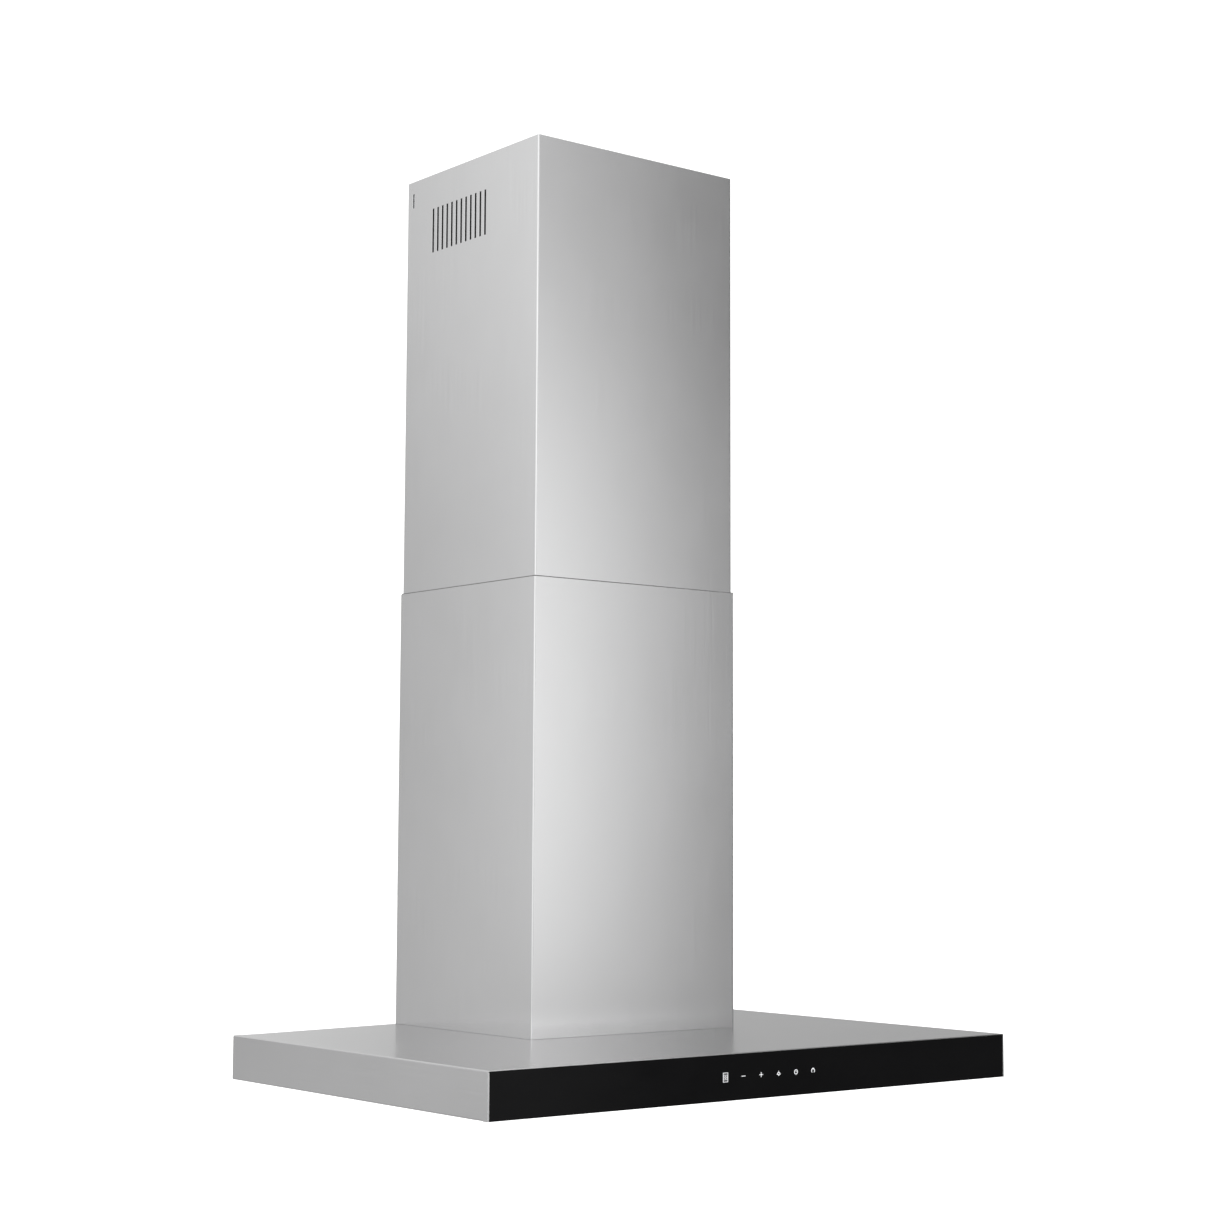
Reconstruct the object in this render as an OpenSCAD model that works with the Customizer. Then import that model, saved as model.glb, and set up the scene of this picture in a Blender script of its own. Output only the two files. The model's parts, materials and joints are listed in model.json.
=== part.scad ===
// Wall-mounted chimney range hood, millimetres. X runs to the right, the room is towards -Y, Z is up.
// The wall is the plane y = 0. The origin is midway between the two screws that carry the hood.

/* [Canopy] */
// Width of the canopy
canopy_w = 760; // [640:1:1000]
// Depth of the canopy from the wall to the front of the glass
canopy_d = 514; // [430:1:620]
// Height of the canopy's sides
canopy_h = 51; // [48:1:80]
// Width of the flat border round the canopy's top
border_w = 33; // [28:1:50]
// Rise of the inner top panel from the border to the chimney
hip_rise = 3; // [2:0.5:12]
// Width of the steel strip at each end of the glass
hem_w = 2; // [1.5:0.1:5]
// Width of the folded lips under the canopy's sides
lip_w = 14; // [10:1:20]

/* [Chimney] */
// Width of the lower flue
flue_w = 307; // [280:1:360]
// Depth of the lower flue
flue_d = 282; // [270:1:320]
// Height of the lower flue
lower_flue_h = 532; // [420:1:700]
// Height of the upper flue above the lower one, drawn right out
flue_reach = 527; // [300:1:700]
// Length of upper flue left inside the lower one
flue_lap = 40; // [30:1:80]
// Travel left below the upper flue when it is pushed right down
flue_floor = 30; // [25:1:60]
// Width of the flanges folded behind each flue
flange_w = 20; // [14:1:24]
// Gap between the two flues
flue_gap = 1; // [0.6:0.1:2]
// Outer radius of the folds in the flues
fold_r = 2; // [1.5:0.1:4]

/* [Louvres] */
// Number of louvre slots in each side
louvre_count = 12; // [4:1:14]
// Distance between two slots
louvre_pitch = 10.2; // [8:0.1:12]
// Width of a slot
louvre_w = 3.8; // [2:0.1:6]
// Height of a slot
louvre_h = 56; // [30:1:90]
// Depth of the slots' upper ends below the flue's top
louvre_drop = 44; // [30:1:80]
// Distance of the rearmost slot from the wall
louvre_back = 59; // [40:1:80]

/* [Sheet and glass] */
// Thickness of the stainless sheet
sheet = 1; // [0.8:0.1:1.5]
// Thickness of the glass
glass_t = 4; // [3:0.5:6]
// Thickness of the bonding tape behind the glass
tape_t = 1; // [0.5:0.1:2]

/* [Touch controls] */
// Distance between two touch marks
mark_pitch = 26.2; // [20:0.1:32]
// Size of a touch mark
mark_size = 6.6; // [5:0.1:10]
// Height of the printed marks over the glass
mark_t = 0.2; // [0.1:0.1:0.4]
// Gap between the glass and the touch board
board_gap = 5; // [4:0.5:8]
// Thickness of a circuit board
board_t = 1.6; // [1:0.1:2]

/* [Filters and lamps] */
// Width of one baffle filter
filter_w = 300; // [220:1:320]
// Depth of one baffle filter
filter_d = 320; // [260:1:360]
// Thickness of a filter
filter_h = 12; // [11:1:16]
// Gap between the two filters
filter_gap = 16; // [12:1:40]
// Distance of the filters from the wall
filter_back = 40; // [30:1:60]
// Distance between two baffles of one layer
baffle_pitch = 26; // [20:1:34]
// Radius of the filters' hinge pins
hinge_r = 2; // [1.5:0.1:3]
// Radial clearance of a running pin
run_gap = 0.08; // [0.04:0.01:0.1]
// Travel of the spring catch
catch_travel = 6; // [4:0.5:8]
// Radius of a lamp's lens
lamp_r = 28; // [20:1:34]
// Distance of a lamp from the middle
lamp_x = 200; // [150:1:230]

/* [Blower] */
// Width of the blower box
box_w = 276; // [250:1:280]
// Depth of the blower box
box_d = 266; // [250:1:270]
// Height of the blower box
box_h = 290; // [270:1:340]
// Gap between the wall and the blower box
box_back = 5; // [4.5:0.1:8]
// Radius of the impeller
impeller_r = 72; // [60:1:74]
// Width of the impeller
impeller_w = 104; // [80:1:108]
// Number of blades in the impeller
blade_count = 36; // [18:1:48]
// Wall of the moulded scroll
scroll_t = 2.5; // [2:0.1:4]
// Gap between the impeller and the scroll's tongue
tongue_gap = 8; // [6:0.5:12]
// Growth of the scroll's radius from the tongue to the outlet
scroll_growth = 35; // [25:1:38]
// Radius of the motor's case
motor_r = 42; // [36:1:44]
// Radius of the motor's shaft
shaft_r = 4; // [3:0.5:6]

/* [Outlet] */
// Outer radius of the duct collar
collar_r = 75; // [60:1:75]
// Height of the duct collar
collar_h = 60; // [50:1:90]
// Wall of the duct collar
collar_t = 1.6; // [1.2:0.1:3]
// Radius of the flap pin
flap_pin_r = 2; // [1.5:0.1:3]
// Thickness of a flap
flap_t = 1.2; // [0.8:0.1:2]

/* [Mounting] */
// Distance between the two hanging screws
hang_pitch = 200; // [150:1:220]
// Radius of the hanging screws' holes
hang_r = 4; // [3:0.1:5]
// Distance between the two holes of the upper flue bracket
crown_pitch = 160; // [100:1:200]
// Radius of the smaller wall screws' holes
wall_hole_r = 3; // [2:0.1:4]
// Distance between the two safety holes in the canopy's back
safety_pitch = 500; // [400:1:600]

/* [Hidden] */
$fn = 64;
steel = "#c4c6c8";
zinc = "#9fa3a6";
bright = "#b8bcc0";
dark_grey = "#4a4d50";
black = "#101113";
plastic = "#d8d8d4";
copper = "#b0683a";
board_green = "#1f5a3a";

half_w = canopy_w / 2;
// Height of the blower box's top over the hanging screws, and the levels that follow from it
z_box = 34;
z_hip = z_box - box_h;
z_deck = z_hip - hip_rise;
z_rim = z_deck - canopy_h;
z_split = z_hip + lower_flue_h;
z_crown = z_split + flue_reach;

// Glass, tape and the front channel, from the front backwards
y_front = -canopy_d;
y_tape = y_front + glass_t;
y_channel = y_tape + tape_t;
channel_d = 16;
y_board = y_tape + board_gap;
z_marks = z_rim + canopy_h / 2;
glass_gap = 0.3;
tape_w = 8;
board_w = 5 * mark_pitch + 41;
board_h = 25;
window_w = board_w + 8;
window_h = board_h + 6;
display_w = 14;

// Inner top panel: outline at the border and at the chimney
panel_x = half_w - border_w;
panel_y = y_front + border_w;
lap_w = 10;
seat_margin = 6;

// Bottom pan and filters
z_pan = z_rim + sheet;
z_filter = z_pan;
z_hinge = z_filter + filter_h / 2;
filter_y1 = -filter_back;
filter_y0 = filter_y1 - filter_d;
y_hinge = filter_y1 - 3;
pan_gap = 2;
ear_gap = 1;
ear_t = 1.5;
ear_d = 12;
filter_x = (filter_w + filter_gap) / 2;
rail_w = 30;
channel_w = 10;
catch_w = 26;
catch_d = 12;
tip_w = 20;
tip_h = 4;
tip_gap = 0.1;
spring_r = 3;
spring_wire = 0.5;
y_catch = filter_y0 + sheet + 0.2;
y_catch_back = y_catch + catch_d;
y_rail_back = filter_y0 + rail_w - sheet;
sides = [["left", -1], ["right", 1]];
coil_steps = 8;

// Touch unit
touch_spring_r = 4;
touch_wire = 0.3;
touch_turns = 4;
cover_lap = 6;
cover_h = 38;
cover_t = 2;
cover_gap = 2;
post_r = 3;
post_inset = 5;

// Lamps
y_lamp = (y_channel + channel_d + filter_y0) / 2;
bezel_r = lamp_r + 7;
lamp_hole_r = lamp_r + 3;
lamp_h = 24;
lens_gap = 0.2;
lens_seat = 2;
fin_t = 1.6;
driver = [124, 40, 24];
driver_ear = [10, 16, 2];

// Blower box
box_x = box_w / 2;
y_box1 = -box_back;
y_box0 = y_box1 - box_d;
y_hook = y_box1 - sheet - 0.5;
foot_w = 8;
intake_margin = 10;
hook_x = 60;
hook_w = 24;
hook_t = 8;
hook_lip = 2;
flange_in = 12;
wire_hole_r = 7;
wire_x = 60;

// Scroll and fan: a is an angle about the fan's axis, from the wall's side upwards
tongue_a = 65;
scroll_r0 = impeller_r + tongue_gap;
scroll_r1 = scroll_r0 + scroll_growth;
outlet_back = 51;
fan_y = y_box1 - sheet - outlet_back - scroll_r1;
fan_z = z_hip + 122;
scroll_x = impeller_w / 2 + 7.5 + scroll_t;
ear_angles = [115, 215, 265, 320];
scroll_ear_r = 4;
scroll_ear_t = 8;
scroll_screw_r = 1.5;
neck_y0 = fan_y + scroll_r0 * cos(tongue_a);
neck_y1 = fan_y + scroll_r1;
inlet_r = impeller_r - 15;
ring_r = impeller_r;
blade_r0 = impeller_r - 13;
ring_t = 2;
hub_r = 12;
hub_h = 16;
winding_gap = 3;
arm_angles = [30, 150, 270];
arm_w = 16;
arm_hole_r = 2.2;
bracket_bore_r = 16;
cap_r = 15;
cap_z0 = z_hip + 60;
cap_h = 55;
cap_back = 50;
cap_clip = [15, 40];
motor_x0 = 10;
motor_x1 = scroll_x + 4;
case_t = 2;
bearing_r = 11;
bearing_t = 7;
rotor_r = 22;
stator_r0 = 23;
rubber_r = 6;
arm_r = inlet_r + 18;
plate_t = 2;

// Outlet
duct_y = (neck_y0 + neck_y1) / 2;
flange_r = collar_r + 10;
collar_foot = 2;
bore_r = collar_r - collar_t;
z_flap = z_box + 24;
flap_r = bore_r - 1.6;
flap_root = 5;
knuckle_r = 4;
knuckle_w = 19;
knuckle_gap = 1;

// Control box on top of the blower box
ctrl_w = 190;
ctrl_h = 40;
ctrl_y0 = y_box0 + 4;
ctrl_y1 = duct_y - flange_r - 4;
y_ctrl = (ctrl_y0 + ctrl_y1) / 2;
z_board = z_box + 7;
gland_r = 5;
lid_h = 8;
z_gland = z_box + 20;

// Flues and brackets
inset = sheet + flue_gap;
flue_x = flue_w / 2;
upper_x = flue_x - inset;
upper_y0 = -flue_d + inset;
upper_y1 = -inset;
bracket_t = 1.5;
blank_t = 1.5;
blank_lap = 5;
slot_w = 3.5;
slot_h = 18;
slot_y = -14;
slot_drop = 16;
crown_drop = 25;
screw_r = 2.1;
screw_head_r = 3.8;
screw_head_h = 1.8;
screw_hole_r = screw_r + 0.15;
sheet_gap = 0.2;
foot_screws = [for (x = [-1, 1], y = [y_box0 + 40, y_box1 - 40]) [x * (box_x + foot_w / 2), y]];
cover_screws = [for (x = [-1, 1], z = [z_hip + 30, z_box - 30]) [x * (box_x - sheet - flange_in / 2), z]];
collar_screws = [for (a = [45:90:315]) [(collar_r + 5) * cos(a), duct_y + (collar_r + 5) * sin(a)]];

// A block between two corners
module block(lo, hi) {
    translate(lo) cube(hi - lo);
}

// A block with its twin mirrored in the middle plane
module pair(lo, hi) {
    block(lo, hi);
    mirror([1, 0, 0]) block(lo, hi);
}

// A profile drawn in X and Z, carried along Y
module along_y(y0, y1) {
    translate([0, y1, 0]) rotate([90, 0, 0]) linear_extrude(y1 - y0) children();
}

// A profile drawn in Y and Z, carried along X
module along_x(x0, x1) {
    translate([x0, 0, 0]) rotate([90, 0, 90]) linear_extrude(x1 - x0) children();
}

module rod_x(r, x0, x1, y, z) {
    translate([x0, y, z]) rotate([0, 90, 0]) cylinder(r = r, h = x1 - x0);
}

module rod_y(r, y0, y1, x, z) {
    translate([x, y1, z]) rotate([90, 0, 0]) cylinder(r = r, h = y1 - y0);
}

module rod_z(r, z0, z1, x, y) {
    translate([x, y, z0]) cylinder(r = r, h = z1 - z0);
}

// A rectangle with four round corners
module rounded(lo, hi, r) {
    translate([lo[0] + r, lo[1]]) square([hi[0] - lo[0] - 2 * r, hi[1] - lo[1]]);
    translate([lo[0], lo[1] + r]) square([hi[0] - lo[0], hi[1] - lo[1] - 2 * r]);
    for (x = [lo[0] + r, hi[0] - r], y = [lo[1] + r, hi[1] - r]) translate([x, y]) circle(r);
}

// The triangles of a tube of n + 1 rings with k points each
function tube_faces(n, k) = concat(
    [for (i = [0:n - 1], j = [0:k - 1]) [(i + 1) * k + j, (i + 1) * k + (j + 1) % k, i * k + (j + 1) % k]],
    [for (i = [0:n - 1], j = [0:k - 1]) [(i + 1) * k + j, i * k + (j + 1) % k, i * k + j]],
    [[for (j = [0:k - 1]) j], [for (j = [k - 1:-1:0]) n * k + j]]);

// A coil spring along Z: rings of points that climb as they turn
module coil(r, wire, turns, h) {
    n = turns * coil_steps;
    k = 4;
    polyhedron([for (i = [0:n], j = [0:k - 1]) let (a = i * 360 / coil_steps, b = j * 360 / k)
        [(r + wire * cos(b)) * cos(a), (r + wire * cos(b)) * sin(a),
            wire + (h - 2 * wire) * i / n + wire * sin(b)]], tube_faces(n, k));
}

// A route with its corners cut twice, which rounds them
function cut(p) = concat([p[0]], [for (i = [0:len(p) - 2], q = [0.25, 0.75])
    p[i] * (1 - q) + p[i + 1] * q], [p[len(p) - 1]]);

// A cable of radius r along a route
module cable(r, route) {
    p = cut(cut(route));
    n = len(p) - 1;
    k = 8;
    polyhedron([for (i = [0:n], j = [0:k - 1]) let (
        t = p[min(i + 1, n)] - p[max(i - 1, 0)],
        w = cross([0.31, 0.92, 0.23], t),
        u = w / norm(w),
        v = cross(u, t) / norm(t),
        b = j * 360 / k)
        p[i] + r * (cos(b) * u + sin(b) * v)], tube_faces(n, k));
}

// Canopy
module canopy_skirt() color(steel) {
    difference() {
        along_y(y_front, 0) difference() {
            rounded([-half_w, z_rim], [half_w, z_deck], fold_r);
            rounded([-half_w + sheet, z_rim + sheet], [half_w - sheet, z_deck - sheet], fold_r - sheet);
            translate([-half_w + lip_w, z_rim - 1]) square([canopy_w - 2 * lip_w, sheet + 2]);
        }
        block([-panel_x, panel_y, z_deck - 2 * sheet], [panel_x, 1, z_deck + 1]);
        pair([-half_w + sheet, y_front - 1, z_rim - 1],
            [-half_w + lip_w + 1, y_channel + channel_d, z_rim + fold_r]);
    }
    pair([-half_w, y_front, z_rim], [-half_w + hem_w, y_front + 8, z_deck - fold_r]);
}

module hip(inset, drop) {
    hull() {
        block([-panel_x + inset, panel_y + inset, z_deck - sheet - drop],
            [panel_x - inset, -inset, z_deck - drop]);
        block([-flue_x - seat_margin + inset, -flue_d - seat_margin + inset, z_hip - sheet - drop],
            [flue_x + seat_margin - inset, -inset, z_hip - drop]);
    }
}

module canopy_top() color(steel) {
    difference() {
        hip(0, 0);
        hip(sheet, sheet);
        block([-box_x + intake_margin, y_box0 + intake_margin, z_rim],
            [box_x - intake_margin, y_box1 - intake_margin, z_hip + 1]);
        for (q = foot_screws) rod_z(screw_hole_r, z_hip - 2 * sheet, z_hip + 1, q[0], q[1]);
    }
    difference() {
        block([-panel_x - lap_w, panel_y - lap_w, z_deck - 2 * sheet],
            [panel_x + lap_w, -sheet, z_deck - sheet]);
        block([-panel_x + sheet, panel_y + sheet, z_deck - 3 * sheet], [panel_x - sheet, 1, z_deck]);
    }
}

module canopy_back() color(zinc) difference() {
    block([-half_w + sheet, -sheet, z_pan], [half_w - sheet, 0, z_deck - sheet]);
    for (x = [-1, 1]) rod_y(wall_hole_r, -5, 5, x * safety_pitch / 2, z_rim + 30);
}

module front_channel() color(zinc) {
    x = half_w - hem_w;
    difference() {
        along_x(-x, x) difference() {
            translate([y_channel, z_rim]) square([channel_d, canopy_h - sheet]);
            translate([y_channel + sheet, z_pan]) square([channel_d, canopy_h - 3 * sheet]);
        }
        block([-window_w / 2, y_channel - 1, z_marks - window_h / 2],
            [window_w / 2, y_channel + sheet + 1, z_marks + window_h / 2]);
    }
}

module glass_front() color(black)
    block([-half_w + hem_w + glass_gap, y_front, z_rim],
        [half_w - hem_w - glass_gap, y_tape, z_deck - sheet - glass_gap]);

module glass_tape() color("#3a3a3c")
    for (z = [z_rim + 1, z_deck - 2 * sheet - tape_w])
        block([-half_w + hem_w + 10, y_tape, z], [half_w - hem_w - 10, y_channel, z + tape_w]);

// The place of touch mark i of six, from the display at the left
function mark_x(i) = (i - 2.5) * mark_pitch - 1.5;

module mark(i) {
    translate([mark_x(i), y_front, z_marks]) rotate([90, 0, 0]) linear_extrude(mark_t) children();
}

module ring2(r, w) {
    difference() {
        circle(r);
        circle(r - w);
    }
}

module touch_marks() color("#e8eaec") {
    line = mark_size / 9;
    w = mark_size * 0.62;
    h = mark_size * 0.9;
    mark(0) difference() {
        square([2 * w, 2 * h], center = true);
        square([2 * w - 2 * line, 2 * h - 2 * line], center = true);
    }
    mark(0) difference() {
        square([w, 1.4 * h], center = true);
        square([w - 2 * line, 1.4 * h - 2 * line], center = true);
    }
    mark(1) square([mark_size, line], center = true);
    mark(2) {
        square([mark_size, line], center = true);
        square([line, mark_size], center = true);
    }
    mark(3) {
        translate([0, mark_size / 8]) ring2(mark_size / 3, line);
        translate([0, -mark_size / 2.6]) square([mark_size / 3, line], center = true);
    }
    mark(4) {
        ring2(mark_size / 2, line);
        translate([-line / 2, 0]) square([line, mark_size / 2 - line / 2]);
    }
    mark(5) difference() {
        ring2(mark_size / 2, line);
        translate([-line, 0]) square([2 * line, mark_size]);
    }
    mark(5) translate([-line / 2, mark_size / 6]) square([line, mark_size / 2]);
}

module led_display() color("#e9ecef")
    block([mark_x(0) - display_w / 2, y_tape, z_marks - display_w / 2],
        [mark_x(0) + display_w / 2, y_board, z_marks + display_w / 2]);

module touch_board() color(board_green)
    block([-board_w / 2, y_board, z_marks - board_h / 2],
        [board_w / 2, y_board + board_t, z_marks + board_h / 2]);

module touch_springs() color(zinc)
    for (i = [1:5]) translate([mark_x(i), y_board, z_marks]) rotate([90, 0, 0])
        coil(touch_spring_r, touch_wire, touch_turns, board_gap);

module board_cover() color("#2b2c2e") {
    y = y_channel + sheet;
    x = window_w / 2 + cover_lap;
    z = cover_h / 2;
    y1 = y + channel_d - cover_gap;
    t = cover_t;
    difference() {
        block([-x, y, z_marks - z], [x, y1, z_marks + z]);
        block([-x + t, y - 1, z_marks - z + t], [x - t, y1 - t, z_marks + z - t]);
    }
    for (i = [-1, 1], k = [-1, 1])
        rod_y(post_r, y_board + board_t, y1 - t / 2, i * (board_w / 2 - post_inset),
            z_marks + k * board_h / 3);
}

// Underside
module bottom_pan() color(steel) difference() {
    union() {
        block([-half_w + fold_r + sheet_gap, y_channel + sheet + sheet_gap, z_pan],
            [half_w - fold_r - sheet_gap, -sheet, z_pan + sheet]);
        for (s = [-1, 1]) {
            x = s * filter_x;
            y = filter_y0 - pan_gap;
            block([x - filter_w / 2, y - sheet, z_pan], [x + filter_w / 2, y, z_pan + filter_h]);
            for (k = [-1, 1]) translate([x + k * (filter_w / 2 + ear_gap + ear_t / 2), y_hinge, 0])
                block([-ear_t / 2, -ear_d / 2, z_pan], [ear_t / 2, ear_d / 2, z_hinge + 5]);
        }
    }
    for (s = [-1, 1]) {
        translate([s * filter_x, 0, 0]) block(
            [-filter_w / 2 - ear_gap, filter_y0 - pan_gap, z_pan - 1],
            [filter_w / 2 + ear_gap, filter_y1 + pan_gap, z_pan + filter_h + 1]);
        rod_z(lamp_hole_r, z_pan - 1, z_pan + 3, s * lamp_x, y_lamp);
        for (k = [-1, 1]) translate([s * filter_x + k * (filter_w / 2 + ear_gap + ear_t / 2), 0, 0])
            rod_x(hinge_r + run_gap, -ear_t, ear_t, y_hinge, z_hinge);
    }
}

module lamp_bezel(s) color(steel) translate([s * lamp_x, y_lamp, z_rim]) difference() {
    cylinder(r = bezel_r, h = sheet);
    translate([0, 0, -1]) cylinder(r = lamp_r, h = sheet + 2);
}

module lamp_lens(s) color("#eef0f0") translate([s * lamp_x, y_lamp, z_rim + lens_gap])
    cylinder(r = lamp_r - lens_gap, h = z_pan + lens_seat - z_rim - lens_gap);

module lamp_body(s) color(zinc) translate([s * lamp_x, y_lamp, z_pan]) difference() {
    union() {
        cylinder(r = lamp_r + 2, h = lamp_h);
        for (i = [0:11]) rotate(i * 30 + 15) translate([0, -fin_t / 2, lamp_h / 2])
            cube([lamp_hole_r + 1, fin_t, lamp_h / 2 - 1]);
    }
    translate([0, 0, -1]) cylinder(r = lamp_r, h = 1 + lens_seat);
}

module led_driver() color(plastic) translate([0, y_lamp, z_pan + sheet]) {
    block([-driver.x / 2, -driver.y / 2, 0], [driver.x / 2, driver.y / 2, driver.z]);
    pair([-driver.x / 2 - driver_ear.x, -driver_ear.y / 2, 0],
        [-driver.x / 2, driver_ear.y / 2, driver_ear.z]);
}

// Filters
module filter_frame(s) color(steel) translate([s * filter_x, 0, 0]) difference() {
    union() {
        block([-filter_w / 2, filter_y0, z_filter], [filter_w / 2, filter_y1, z_filter + filter_h]);
        for (k = [-1, 1]) translate([k * (filter_w / 2 + (ear_gap + ear_t) / 2), 0, 0])
            rod_x(hinge_r, -(ear_gap + ear_t) / 2 - sheet, (ear_gap + ear_t) / 2 + sheet, y_hinge, z_hinge);
    }
    // The open middle, then the channels' hollows behind their lips
    block([-filter_w / 2 + channel_w, filter_y0 + rail_w, z_filter - 1],
        [filter_w / 2 - channel_w, filter_y1 - channel_w, z_filter + filter_h + 1]);
    block([-filter_w / 2 + 2 * sheet, filter_y0 + rail_w, z_filter + sheet],
        [filter_w / 2 - 2 * sheet, filter_y1 - sheet, z_filter + filter_h - sheet]);
    // The front rail's hollow with the catch's slot and the finger hole
    block([-filter_w / 2 + sheet, filter_y0 + sheet, z_filter + sheet],
        [filter_w / 2 - sheet, y_rail_back, z_filter + filter_h - sheet]);
    block([-tip_w / 2 - 0.3, filter_y0 - 1, z_filter + sheet + 0.7],
        [tip_w / 2 + 0.3, filter_y0 + 3, z_filter + sheet + tip_h + 1.3]);
    block([-8, y_catch + 1.5, z_filter - 1], [8, y_catch_back + catch_travel + 1, z_filter + 2]);
}

module baffles(s) color(steel) translate([s * filter_x, 0, 0]) {
    x = filter_w / 2 - 2 * sheet;
    y0 = filter_y0 + rail_w;
    y1 = filter_y1 - sheet;
    n = floor((x - baffle_pitch / 2) / baffle_pitch);
    z0 = z_filter + sheet;
    z1 = z_filter + filter_h - sheet;
    w = baffle_pitch * 0.36;
    leg = (filter_h - 2 * sheet) * 0.42;
    t = 0.8;
    // Troughs below, open upwards
    for (i = [-n:n]) translate([i * baffle_pitch, 0, 0]) along_y(y0, y1) polygon([
        [-w, z0 + leg], [-w, z0], [w, z0], [w, z0 + leg], [w - t, z0 + leg], [w - t, z0 + t],
        [t - w, z0 + t], [t - w, z0 + leg]]);
    // Caps above the gaps, open downwards
    for (i = [-n:n - 1]) translate([(i + 0.5) * baffle_pitch, 0, 0]) along_y(y0, y1) polygon([
        [-w, z1 - leg], [-w, z1], [w, z1], [w, z1 - leg], [w - t, z1 - leg], [w - t, z1 - t],
        [t - w, z1 - t], [t - w, z1 - leg]]);
}

module filter_catch(s) color(black) translate([s * filter_x, 0, 0]) {
    z = z_filter + sheet;
    block([-catch_w / 2, y_catch, z + 0.2], [catch_w / 2, y_catch_back, z_filter + filter_h - sheet - 0.2]);
    block([-tip_w / 2, filter_y0 - pan_gap + tip_gap, z + 1], [tip_w / 2, y_catch, z + 1 + tip_h - 0.4]);
    block([-7, y_catch + 2.5, z_filter - 0.8], [7, y_catch + 5, z + 0.2]);
    block([-7, y_catch + 2.5, z_filter - 0.8], [7, y_catch + 8, z_filter + 0.6]);
}

module catch_spring(s) color(zinc)
    for (k = [-1, 1]) translate([s * filter_x + k * catch_w / 4, y_rail_back, z_hinge]) rotate([90, 0, 0])
        coil(spring_r, spring_wire, 5, y_rail_back - y_catch_back);

// Blower box
module blower_box() color(zinc) {
    difference() {
        union() {
            block([-box_x, y_box0 + sheet, z_hip], [box_x, y_box1, z_box]);
            pair([-box_x - foot_w, y_box0 + sheet, z_hip], [-box_x, y_box1, z_hip + sheet]);
        }
        block([-box_x + sheet, y_box0 - 1, z_hip - 1], [box_x - sheet, y_box1 - sheet, z_box - sheet]);
        rod_z(bore_r, z_box - 5, z_box + 5, 0, duct_y);
        rod_z(wire_hole_r, z_box - 5, z_box + 5, wire_x, y_ctrl);
        for (x = [-hook_x, hook_x]) block([x - hook_w / 2 - 1, y_box1 - 2, -hook_t],
            [x + hook_w / 2 + 1, y_box1 + 1, hook_t / 2]);
        for (q = foot_screws) rod_z(screw_hole_r, z_hip - 1, z_hip + 2, q[0], q[1]);
        for (q = collar_screws) rod_z(screw_hole_r, z_box - 2, z_box + 1, q[0], q[1]);
    }
    // Flanges folded in behind the cover
    difference() {
        pair([-box_x + sheet, y_box0 + sheet, z_hip],
            [-box_x + sheet + flange_in, y_box0 + 2 * sheet, z_box - sheet]);
        for (q = cover_screws) rod_y(screw_hole_r, y_box0, y_box0 + 3 * sheet, q[0], q[1]);
    }
}

module blower_cover() color(zinc) difference() {
    block([-box_x, y_box0, z_hip], [box_x, y_box0 + sheet, z_box]);
    for (q = cover_screws) rod_y(screw_hole_r, y_box0 - 1, y_box0 + 2, q[0], q[1]);
}

// The scroll's radius at angle a, its outline grown by t, and the places of its screws' ears
function scroll_r(a) = scroll_r0 + scroll_growth * (a - tongue_a) / (360 - tongue_a);
function spiral(t) = [for (a = [tongue_a:5:360])
    [fan_y + (scroll_r(a) + t) * cos(a), fan_z + (scroll_r(a) + t) * sin(a)]];
function ear_y(a) = fan_y + (scroll_r(a) + scroll_t + 3) * cos(a);
function ear_z(a) = fan_z + (scroll_r(a) + scroll_t + 3) * sin(a);

module scroll2(t) {
    polygon(concat(spiral(t), [[neck_y1 + t, z_box - sheet], [neck_y0 - t, z_box - sheet]]));
}

module scroll_half(s) color(dark_grey) mirror([s < 0 ? 1 : 0, 0, 0]) {
    difference() {
        union() {
            along_x(0, scroll_x) difference() {
                scroll2(scroll_t);
                scroll2(0);
                translate([neck_y0 - 0.01, z_box - 20]) square([neck_y1 - neck_y0, 30]);
            }
            along_x(scroll_x - scroll_t, scroll_x) scroll2(0);
        }
        rod_x(inlet_r + 2, scroll_x - 2 * scroll_t, scroll_x + 1, fan_y, fan_z);
    }
    // Ears for the screws that join the halves
    for (a = ear_angles) difference() {
        rod_x(scroll_ear_r, 0, scroll_ear_t, ear_y(a), ear_z(a));
        along_x(-1, scroll_ear_t + 1) scroll2(0.5);
        rod_x(scroll_screw_r + 0.1, -1, scroll_ear_t + 1, ear_y(a), ear_z(a));
    }
}

module inlet_ring(s) color(dark_grey) translate([0, fan_y, fan_z]) rotate([0, s * 90, 0])
    rotate_extrude() polygon([[inlet_r, scroll_x - 8], [inlet_r + 1.5, scroll_x - 8],
        [inlet_r + 1.8, scroll_x], [inlet_r + 9, scroll_x], [inlet_r + 9, scroll_x + 1.5],
        [inlet_r + 3, scroll_x + 1.5], [inlet_r + 1, scroll_x]]);

module impeller() color("#7f8488") {
    chord = impeller_r - blade_r0 - 1;
    translate([0, fan_y, fan_z]) rotate([0, 90, 0]) {
        for (i = [0:blade_count - 1]) rotate(i * 360 / blade_count)
            translate([blade_r0, 0, -impeller_w / 2]) linear_extrude(impeller_w)
                polygon([[0, 0], [chord / 2, 1.6], [chord, 5], [chord, 6], [chord / 2, 2.5], [0, 0.9]]);
        for (z = [-impeller_w / 2, impeller_w / 2 - ring_t]) translate([0, 0, z]) difference() {
            cylinder(r = ring_r, h = ring_t);
            translate([0, 0, -1]) cylinder(r = blade_r0, h = ring_t + 2);
        }
        difference() {
            union() {
                translate([0, 0, -ring_t / 2]) cylinder(r = ring_r - ring_t, h = ring_t);
                translate([0, 0, -hub_r]) cylinder(r = hub_r, h = hub_h);
            }
            translate([0, 0, -hub_r - 1]) cylinder(r = shaft_r, h = hub_h + 2);
        }
    }
}

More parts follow.
